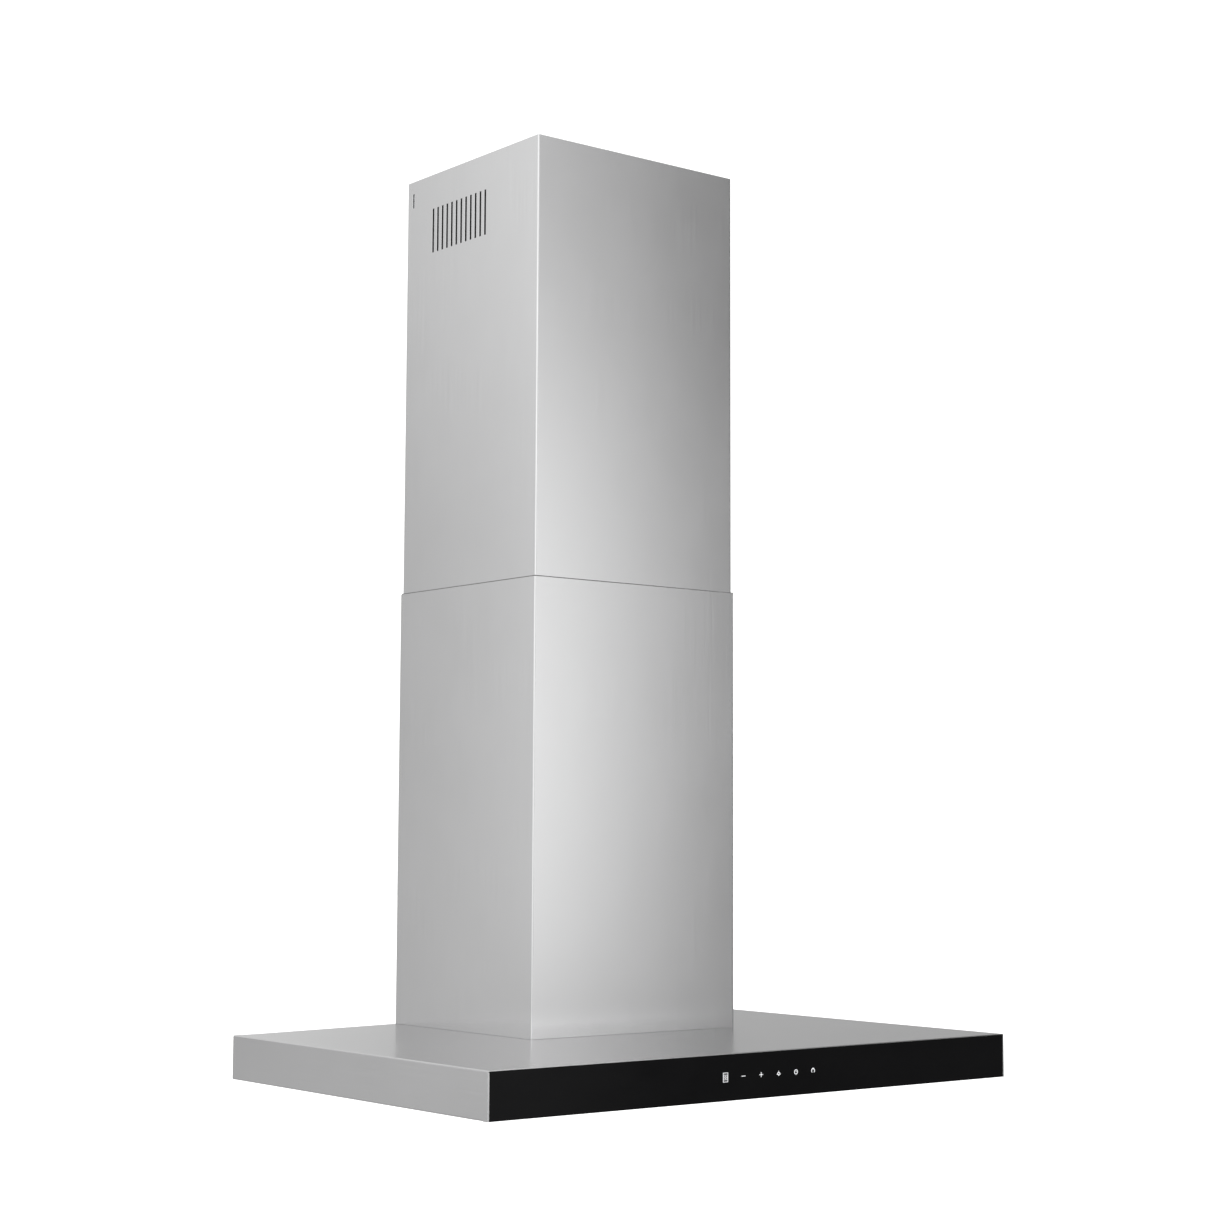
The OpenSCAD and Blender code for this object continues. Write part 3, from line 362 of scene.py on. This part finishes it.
def settle(bm, name, body, slotName, surface, smooth=38, turned=True):
    # Ends a mesh: normals out, smooth shading broken at sharp edges, flats kept flat
    if turned:
        bmesh.ops.recalc_face_normals(bm, faces=bm.faces)
    mesh = bpy.data.meshes.new(name)
    bm.to_mesh(mesh)
    bm.free()
    mesh.shade_smooth()
    mesh.set_sharp_from_angle(angle=math.radians(smooth))
    mesh.materials.append(surface)
    piece = bpy.data.objects.new(name, mesh)
    bpy.context.scene.collection.objects.link(piece)
    weighted = piece.modifiers.new("flats", "WEIGHTED_NORMAL")
    weighted.keep_sharp = True
    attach(piece, body)
    return piece


def pieceName(nodeName):
    words = nodeName.split("_")
    return words[0] + "".join(w.capitalize() for w in words[1:])


def eased(nodeName, radius, segments=2, sharp=32):
    # A node's own shape with its cut and folded edges rounded; it stands for the node
    bm = bmesh.new()
    bm.from_mesh(nodes[nodeName].data)
    bmesh.ops.remove_doubles(bm, verts=bm.verts, dist=weldDistance)
    bmesh.ops.dissolve_limit(bm, angle_limit=math.radians(0.4), verts=bm.verts, edges=bm.edges)
    edges = [e for e in bm.edges if e.is_manifold and e.calc_face_angle(0) > math.radians(sharp)]
    bmesh.ops.bevel(bm, geom=edges, offset=radius, offset_type="OFFSET", segments=segments, profile=0.5,
                    affect="EDGES", clamp_overlap=True, material=-1)
    surface = nodes[nodeName].data.materials[0]
    piece = settle(bm, pieceName(nodeName), bodyOf[nodeName], slotOf[nodeName], surface, turned=False)
    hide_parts(nodeName)
    return piece


# Radius of the rounding on each node's edges, in metres
easedEdges = {
    "canopy_skirt": 0.0007, "canopy_top": 0.0005, "canopy_back": 0.0003, "front_channel": 0.0003,
    "glass_front": 0.0006, "glass_tape": 0.0001, "board_cover": 0.0008, "bottom_pan": 0.0003,
    "lamp_bezel_left": 0.0004, "lamp_bezel_right": 0.0004, "lamp_body_left": 0.0004,
    "lamp_body_right": 0.0004, "led_driver": 0.0015, "filter_frame_left": 0.0004,
    "filter_frame_right": 0.0004, "baffles_left": 0.0003, "baffles_right": 0.0003,
    "filter_catch_left": 0.0004, "filter_catch_right": 0.0004, "blower_box": 0.0004,
    "blower_cover": 0.0004, "scroll_left": 0.0006, "scroll_right": 0.0006, "inlet_ring_left": 0.0003,
    "inlet_ring_right": 0.0003, "impeller": 0.0002, "motor_case": 0.0008, "motor_stator": 0.001,
    "motor_rotor": 0.0006, "motor_shaft": 0.0004, "motor_bearings": 0.0004, "motor_bracket": 0.0004,
    "motor_rubbers": 0.0006, "capacitor": 0.001, "control_box": 0.0003, "control_lid": 0.0004,
    "control_board": 0.0003, "terminal_block": 0.0005, "cable_gland": 0.0006, "outlet_collar": 0.0004,
    "flap_front": 0.0003, "flap_rear": 0.0003, "flap_pin": 0.0003, "lower_flue": 0.0003,
    "upper_flue": 0.0003, "louvre_blanks": 0.0003, "wall_bracket": 0.0005, "flue_bracket": 0.0004,
    "flue_locators": 0.0003, "touch_board": 0.0002, "led_display": 0.0005}
for nodeName, radius in easedEdges.items():
    made = eased(nodeName, radius)
    print("eased", made.name, len(made.data.polygons))


def block(bm, low, high):
    low, high = Vector(low), Vector(high)
    place = Matrix.Translation((low + high) / 2) @ Matrix.Diagonal((*(high - low), 1))
    return bmesh.ops.create_cube(bm, size=1, matrix=place)["verts"]


def lathe(bm, profile, place, steps, sweep=math.tau):
    # (radius, height) pairs spun round Z, then set in place
    start = [bm.verts.new((r, 0, h)) for r, h in profile]
    edges = [bm.edges.new(pair) for pair in zip(start, start[1:])]
    whole = abs(sweep - math.tau) < 1e-6
    before = set(bm.verts) - set(start)
    bmesh.ops.spin(bm, geom=start + edges, cent=(0, 0, 0), axis=(0, 0, 1), dvec=(0, 0, 0), angle=sweep,
                   steps=steps, use_merge=whole, use_normal_flip=False, use_duplicate=False)
    fresh = [v for v in bm.verts if v not in before]
    bmesh.ops.remove_doubles(bm, verts=fresh, dist=weldDistance / 2)
    fresh = [v for v in bm.verts if v not in before]
    bmesh.ops.transform(bm, matrix=place, verts=fresh)
    return fresh


def facing(point, direction):
    # A place whose Z looks along a direction
    turn = Vector(direction).to_track_quat("Z", "Y").to_matrix().to_4x4()
    return Matrix.Translation(point) @ turn


marks = {"size": 0.0054, "stroke": 0.0007, "pitch": 0.026, "shift": 0.0011, "thick": 0.00018,
         "displayWide": 0.0071, "displayTall": 0.0102, "digitWide": 0.0018, "digitTall": 0.0052}


def touchSigns():
    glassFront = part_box("glass_front")[0].y
    low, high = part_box("touch_marks")
    level = (low.z + high.z) / 2
    bm = bmesh.new()
    stroke, size = marks["stroke"], marks["size"]

    def bar(x0, x1, z0, z1):
        block(bm, (x0, glassFront - marks["thick"], z0), (x1, glassFront, z1))

    def hoop(x, z, radius, start=0.0, sweep=math.tau):
        inner, outer = radius - stroke, radius
        ring = [(inner, 0), (outer, 0), (outer, marks["thick"]), (inner, marks["thick"]), (inner, 0)]
        place = facing((x, glassFront, z), (0, -1, 0)) @ Matrix.Rotation(start, 4, "Z")
        fresh = lathe(bm, ring, place, 40, sweep)
        rim = {e for v in fresh for e in v.link_edges if e.is_boundary}
        bmesh.ops.holes_fill(bm, edges=list(rim), sides=6)

    def at(i):
        return (i - 2.5) * marks["pitch"] + marks["shift"]

    # Display: a frame with two seven-stroke digits
    x, wide, tall = at(0), marks["displayWide"] / 2, marks["displayTall"] / 2
    thin = stroke * 0.8
    bar(x - wide, x + wide, level + tall - thin, level + tall)
    bar(x - wide, x + wide, level - tall, level - tall + thin)
    bar(x - wide, x - wide + thin, level - tall + thin, level + tall - thin)
    bar(x + wide - thin, x + wide, level - tall + thin, level + tall - thin)
    for side in (-1, 1):
        middle = x + side * marks["digitWide"] * 0.78
        half, reach = marks["digitWide"] / 2, marks["digitTall"] / 2
        for step in (-1, 0, 1):
            height = level + step * reach
            bar(middle - half, middle + half, height - thin / 3, height + thin / 3)
        for edge in (-1, 1):
            left = middle + edge * half
            bar(left - thin / 3, left + thin / 3, level - reach + thin / 2, level - thin / 2)
            bar(left - thin / 3, left + thin / 3, level + thin / 2, level + reach - thin / 2)
    # Slower, faster
    half = size / 2
    bar(at(1) - half, at(1) + half, level - stroke / 2, level + stroke / 2)
    bar(at(2) - half, at(2) + half, level - stroke / 2, level + stroke / 2)
    bar(at(2) - stroke / 2, at(2) + stroke / 2, level + stroke / 2, level + half)
    bar(at(2) - stroke / 2, at(2) + stroke / 2, level - half, level - stroke / 2)
    # Lamp: a hanging shade and its bulb
    hoop(at(3), level - size * 0.14, size * 0.4, 0, math.pi)
    bar(at(3) - stroke / 3, at(3) + stroke / 3, level + size * 0.24, level + half)
    for drop, width in ((0.2, 0.5), (0.42, 0.16)):
        bar(at(3) - size * width, at(3) + size * width, level - size * drop - stroke / 2,
            level - size * drop + stroke / 2)
    # Timer: a dial with its hands
    hoop(at(4), level, half)
    bar(at(4) - stroke / 3, at(4) + stroke / 3, level, level + size * 0.3)
    bar(at(4) + stroke / 3, at(4) + size * 0.24, level - stroke / 4, level + stroke / 3)
    # Power: an open ring with its stroke
    hoop(at(5), level, half, math.radians(-55), math.radians(290))
    bar(at(5) - stroke / 2, at(5) + stroke / 2, level + size * 0.08, level + size * 0.58)
    piece = settle(bm, "touchSigns", "root", "white_print", markWhite)
    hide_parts("touch_marks")


touchSigns()


# Size of the painted shade strip on the flue joint
shadeStrip = {"clear": 0.00012, "tall": 0.0009, "inset": 0.0001, "backGap": 0.002}


def flueEdging():
    # A dark strip on the lower cover's top edge, just clear of the cover that slides: painted shade for the
    # contact shadow the upper cover casts there
    low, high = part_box("lower_flue")
    innerLow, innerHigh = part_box("upper_flue")
    gap, inset = shadeStrip["clear"], shadeStrip["inset"]
    x0, x1, y0 = low.x + inset, high.x - inset, low.y + inset
    u0, u1, v0 = innerLow.x - gap, innerHigh.x + gap, innerLow.y - gap
    back = high.y - shadeStrip["backGap"]
    outline = [(x0, back), (x0, y0), (x1, y0), (x1, back), (u1, back), (u1, v0), (u0, v0), (u0, back)]
    bm = bmesh.new()
    face = bm.faces.new([bm.verts.new((x, y, high.z)) for x, y in outline])
    top = bmesh.ops.extrude_face_region(bm, geom=[face])["geom"]
    raised = [v for v in top if isinstance(v, bmesh.types.BMVert)]
    bmesh.ops.translate(bm, vec=(0, 0, shadeStrip["tall"]), verts=raised)
    settle(bm, "flueEdging", "root", "black_plastic", edgingDark)


flueEdging()


def looseParts(nodeName):
    # The boxes of a node's separate solids
    bm = bmesh.new()
    bm.from_mesh(nodes[nodeName].data)
    bmesh.ops.remove_doubles(bm, verts=bm.verts, dist=weldDistance)
    left, boxes = set(bm.verts), []
    while left:
        group, edge = set(), [left.pop()]
        while edge:
            vert = edge.pop()
            group.add(vert)
            near = {e.other_vert(vert) for e in vert.link_edges} & left
            left -= near
            edge.extend(near)
        points = [v.co for v in group]
        boxes.append((Vector([min(p[i] for p in points) for i in range(3)]),
                      Vector([max(p[i] for p in points) for i in range(3)])))
    bm.free()
    return sorted(boxes, key=lambda b: tuple(round(c, 5) for c in b[0]))


# Shares of the head's height and radius, and of the shank's radius; pitch in metres
screwForm = {"washer": 0.3, "hexWide": 0.8, "dimple": 0.72, "core": 0.76, "pitch": 0.0008,
             "roundSteps": 24, "threadSteps": 14}
screwSizes = {"sheetScrews": ("sheet_screws", 0.0038, 0.0018, 0.0021, 6),
              "scrollScrews": ("scroll_screws", 0.003, 0.002, 0.0015, 24)}


def screw(bm, foot, direction, headRadius, headHeight, shank, shankRadius, sides):
    # A washer-faced head with a rim and a dimple, over a rolled thread
    washer = headHeight * screwForm["washer"]
    dimple = headHeight * screwForm["dimple"]
    place = facing(foot, direction)
    lathe(bm, [(0, 0), (headRadius, 0), (headRadius, washer * 0.6), (headRadius * 0.9, washer),
               (0, washer)], place, screwForm["roundSteps"])
    hexTop = headRadius * screwForm["hexWide"]
    lathe(bm, [(0, washer * 0.9), (hexTop, washer * 0.9), (hexTop, headHeight * 0.85),
               (hexTop * 0.86, headHeight), (hexTop * 0.45, headHeight), (hexTop * 0.3, dimple),
               (0, dimple)], place, sides)
    turns = max(3, round(shank / screwForm["pitch"]))
    core = shankRadius * screwForm["core"]
    profile = [(0, -shank), (core * 0.6, -shank)]
    for i in range(turns):
        root = -shank + shank * (i + 0.4) / turns
        profile += [(core, root), (shankRadius, root + shank * 0.3 / turns)]
    lathe(bm, profile + [(core, 0), (0, 0)], place, screwForm["threadSteps"])


def headSide(nodeName, low, high, axis):
    # Which end of a screw's box holds the wider head
    slack = 1e-5
    near = [v.co for v in nodes[nodeName].data.vertices
            if all(low[i] - slack <= v.co[i] <= high[i] + slack for i in range(3))]
    others = [i for i in range(3) if i != axis]

    def spread(level):
        ring = [p for p in near if abs(p[axis] - level) < slack]
        return max(p[others[0]] for p in ring) - min(p[others[0]] for p in ring)
    return (1, high[axis]) if spread(high[axis]) > spread(low[axis]) else (-1, low[axis])


def screwSet(name, nodeName, headRadius, headHeight, shankRadius, sides):
    bm = bmesh.new()
    for low, high in looseParts(nodeName):
        size = high - low
        usual = sorted(size)[1]
        axis = max(range(3), key=lambda i: abs(size[i] - usual))
        middle = (low + high) / 2
        way, head = headSide(nodeName, low, high, axis)
        foot = middle.copy()
        foot[axis] = head - way * headHeight
        direction = Vector((0, 0, 0))
        direction[axis] = way
        screw(bm, foot, direction, headRadius, headHeight, size[axis] - headHeight, shankRadius, sides)
    piece = settle(bm, name, "root", "spring_steel", brightSteel)
    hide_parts(nodeName)


for name, sizes in screwSizes.items():
    screwSet(name, *sizes)


springs = {"wireSides": 8, "stepsPerTurn": 20, "touchWire": 0.0003, "touchTurns": 5, "catchWire": 0.0005,
           "catchTurns": 6, "pressedShare": 0.6}


def helix(bm, low, high, axis, wireRadius, turns):
    # Round wire wound along one axis between two corners
    size = high - low
    rise = size[axis] - 2 * wireRadius
    radius = (min(size[i] for i in range(3) if i != axis)) / 2 - wireRadius
    start = set(bm.verts)
    seed = Matrix.Translation((radius, 0, wireRadius)) @ Matrix.Rotation(math.pi / 2, 4, "X")
    made = bmesh.ops.create_circle(bm, cap_ends=True, segments=springs["wireSides"],
                                    radius=wireRadius, matrix=seed)
    geom = made["verts"] + list({e for v in made["verts"] for e in v.link_edges})
    steps = round(turns * springs["stepsPerTurn"])
    bmesh.ops.spin(bm, geom=geom, cent=(0, 0, 0), axis=(0, 0, 1), dvec=(0, 0, rise / steps),
                   angle=math.tau * turns, steps=steps, use_merge=False, use_duplicate=False)
    fresh = [v for v in bm.verts if v not in start]
    ends = list({e for v in fresh for e in v.link_edges if e.is_boundary})
    bmesh.ops.holes_fill(bm, edges=ends, sides=springs["wireSides"] + 2)
    direction = Vector((0, 0, 0))
    direction[axis] = 1
    foot = (low + high) / 2
    foot[axis] = low[axis]
    bmesh.ops.transform(bm, matrix=facing(foot, direction), verts=fresh)


def springSet(name, nodeName, wireRadius, turns):
    bm = bmesh.new()
    for low, high in looseParts(nodeName):
        helix(bm, low, high, 1, wireRadius, turns)
    piece = settle(bm, name, bodyOf[nodeName], "spring_steel", brightSteel)
    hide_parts(nodeName)
    return piece


springSet("touchSprings", "touch_springs", springs["touchWire"], springs["touchTurns"])
for side in ("Left", "Right"):
    springNode = "catch_spring_" + side.lower()
    catchSpring = springSet("catchSpring" + side, springNode, springs["catchWire"], springs["catchTurns"])
    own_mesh(catchSpring)


lens = {"rings": 9, "depth": 0.0005, "steps": 64}


def prismLens(nodeName):
    low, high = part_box(nodeName)
    radius, tall = (high.x - low.x) / 2, high.z - low.z
    place = Matrix.Translation(((low.x + high.x) / 2, (low.y + high.y) / 2, low.z))
    profile = [(0, lens["depth"])]
    for i in range(lens["rings"]):
        inner = radius * (0.08 + 0.86 * i / lens["rings"])
        profile += [(inner, lens["depth"]), (inner + radius * 0.06, 0)]
    profile += [(radius * 0.97, 0), (radius, lens["depth"]), (radius, tall), (0, tall)]
    bm = bmesh.new()
    lathe(bm, profile, place, lens["steps"])
    piece = settle(bm, pieceName(nodeName), "root", "lamp_lens", lensFrost)
    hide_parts(nodeName)


prismLens("lamp_lens_left")
prismLens("lamp_lens_right")


# Each cable: its radius, then the corners of its route, which are cut round
cables = {"ringCuts": 4, "rounds": 3, "routes": [
    (0.0025, [(0.068, -0.172, -0.108), (0.095, -0.172, -0.104), (0.09, -0.172, -0.006),
              (0.057, -0.2148, 0.02), (0.057, -0.2248, 0.03), (0.057, -0.2248, 0.046),
              (0.038, -0.2248, 0.046)]),
    (0.002, [(0.03, -0.494, -0.2785), (0.03, -0.4565, -0.2695), (0.11, -0.241, -0.2695),
             (0.11, -0.241, -0.236), (0.118, -0.241, -0.006), (0.075, -0.245, 0.018),
             (0.063, -0.2288, 0.026), (0.063, -0.2288, 0.046), (0.038, -0.2328, 0.046)])]}


def rounded(points):
    # Corner cutting keeps both ends where they are
    for _ in range(cables["rounds"]):
        inner = [p * (1 - q) + r * q for p, r in zip(points, points[1:]) for q in (0.25, 0.75)]
        points = [points[0]] + inner + [points[-1]]
    return points


def innerCables():
    bm = bmesh.new()
    for radius, route in cables["routes"]:
        points = rounded([Vector(p) for p in route])
        curve = bpy.data.curves.new("route", "CURVE")
        curve.dimensions = "3D"
        curve.bevel_depth, curve.bevel_resolution = radius, cables["ringCuts"]
        curve.use_fill_caps = True
        line = curve.splines.new("POLY")
        line.points.add(len(points) - 1)
        for spot, point in zip(line.points, points):
            spot.co = (*point, 1)
        carrier = bpy.data.objects.new("route", curve)
        bm.from_mesh(carrier.to_mesh())
        carrier.to_mesh_clear()
        bpy.data.objects.remove(carrier)
    bmesh.ops.remove_doubles(bm, verts=bm.verts, dist=weldDistance)
    piece = settle(bm, "innerCables", "root", "wire_cover", cableSheath, smooth=50)
    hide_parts("wiring")


innerCables()
print("fine pieces made")


studio = {"floorHeight": -1.45, "floorSize": 90.0, "floorGlow": 0.42}


def paleFloor():
    bm = bmesh.new()
    half = studio["floorSize"] / 2
    place = Matrix.Translation((0, 0, studio["floorHeight"]))
    bmesh.ops.create_grid(bm, x_segments=4, y_segments=4, size=half, matrix=place)
    mesh = bpy.data.meshes.new("floor")
    bm.to_mesh(mesh)
    bm.free()
    floor = bpy.data.objects.new("floor", mesh)
    bpy.context.scene.collection.objects.link(floor)
    board, dress = newFinish("paleFloor")
    cloud = board.noise(board.place(), 1.5, 2.0)
    tone = board.blend(cloud, (0.86, 0.86, 0.86), (0.89, 0.89, 0.89))
    mesh.materials.append(dress({"Base Color": tone, "Roughness": 0.8, "Emission Color": (1, 1, 1),
                                 "Emission Strength": studio["floorGlow"], "Specular IOR Level": 0.0}))
    floor.visible_glossy = False
    floor.visible_diffuse = False


def softRoom():
    # Soft light from all round, brightest in front and falling away sharply to the right.
    # Rows are (degrees from the front, positive to the right; tone below, at and above the horizon).
    rim = [(-180, 0.5, 0.5, 0.7), (-149, 0.66, 0.5, 0.7), (-146, 0.74, 0.6, 0.85), (-142, 0.6, 1.25, 1.5),
           (-115, 0.6, 1.15, 1.4), (-95, 0.8, 1.7, 2.0), (-32, 0.7, 1.7, 1.9), (-15, 0.6, 1.0, 0.9),
           (12, 0.6, 1.05, 0.9), (24, 0.85, 1.9, 1.15), (35, 0.85, 2.0, 1.1), (37.8, 0.75, 2.0, 0.9),
           (39.0, 0.28, 0.9, 0.05), (40.4, 0.25, 0.06, 0.03), (60, 0.25, 0.05, 0.03), (90, 0.3, 0.15, 0.08),
           (128, 0.4, 0.42, 0.34),
           (142, 0.5, 0.5, 0.5), (152, 0.5, 0.8, 0.7), (166, 0.5, 0.55, 0.6), (180, 0.5, 0.5, 0.6)]
    world = bpy.data.worlds.new("softRoom")
    world.use_nodes = True
    board = Board(world.node_tree)
    x, y, z = board.parts(board.add("ShaderNodeTexCoord", output="Generated"))
    turn = x.join("ARCTAN2", 0 - y) / math.tau + 0.5

    def band(which):
        stops = [(row[0] / 360 + 0.5, (row[which] / 4,) * 3) for row in rim]
        return board.add("ShaderNodeValToRGB", {"stops": stops}, {0: turn})

    room = board.blend(z.ease(-0.088, -0.06), band(1), band(2))
    room = board.blend(z.ease(0.1, 0.3), room, band(3))
    room = board.blend(z.ease(0.3, 0.42), room, (0.23, 0.23, 0.23))
    room = board.blend(z.ease(0.55, 0.9), room, (0.42, 0.42, 0.42))
    room = board.blend((0 - z).ease(0.15, 0.5), room, (0.14, 0.14, 0.14))
    seen = board.add("ShaderNodeLightPath", output="Is Camera Ray")
    output = board.add("ShaderNodeBackground", {}, {"Color": board.blend(seen, room, (0.325, 0.325, 0.325)),
                                                    "Strength": 4.0})
    board.add("ShaderNodeOutputWorld", {}, {"Surface": output})
    bpy.context.scene.world = world


def softPanel(name, place, aim, width, height, power):
    light = bpy.data.lights.new(name, "AREA")
    light.shape = "RECTANGLE"
    light.size, light.size_y, light.energy = width, height, power
    panel = bpy.data.objects.new(name, light)
    panel.location = place
    panel.rotation_mode = "QUATERNION"
    panel.rotation_quaternion = (Vector(aim) - Vector(place)).to_track_quat("-Z", "Y")
    panel.visible_camera = False
    bpy.context.scene.collection.objects.link(panel)


view = {"place": (-1.7564, -2.4427, -0.0254), "yaw": 38.35, "pitch": 5.63, "roll": 0.25, "lens": 69.1}


def setCamera():
    yaw, pitch, roll = (math.radians(view[k]) for k in ("yaw", "pitch", "roll"))
    forward = Vector((math.sin(yaw) * math.cos(pitch), math.cos(yaw) * math.cos(pitch), math.sin(pitch)))
    right = forward.cross(Vector((0, 0, 1))).normalized()
    up = right.cross(forward)
    right, up = right * math.cos(roll) + up * math.sin(roll), up * math.cos(roll) - right * math.sin(roll)
    data = bpy.data.cameras.new("camera")
    data.lens, data.sensor_width, data.clip_end = view["lens"], 36, 300
    camera = bpy.data.objects.new("camera", data)
    turn = Matrix((right, up, -forward)).transposed().to_4x4()
    camera.matrix_world = Matrix.Translation(view["place"]) @ turn
    bpy.context.scene.collection.objects.link(camera)
    bpy.context.scene.camera = camera


paleFloor()
softRoom()
softPanel("overhead", (-0.6, -1.2, 2.6), (0, -0.3, 0), 2.0, 2.0, 12)
setCamera()
bpy.context.scene.view_settings.view_transform = "Standard"
print("studio ready")
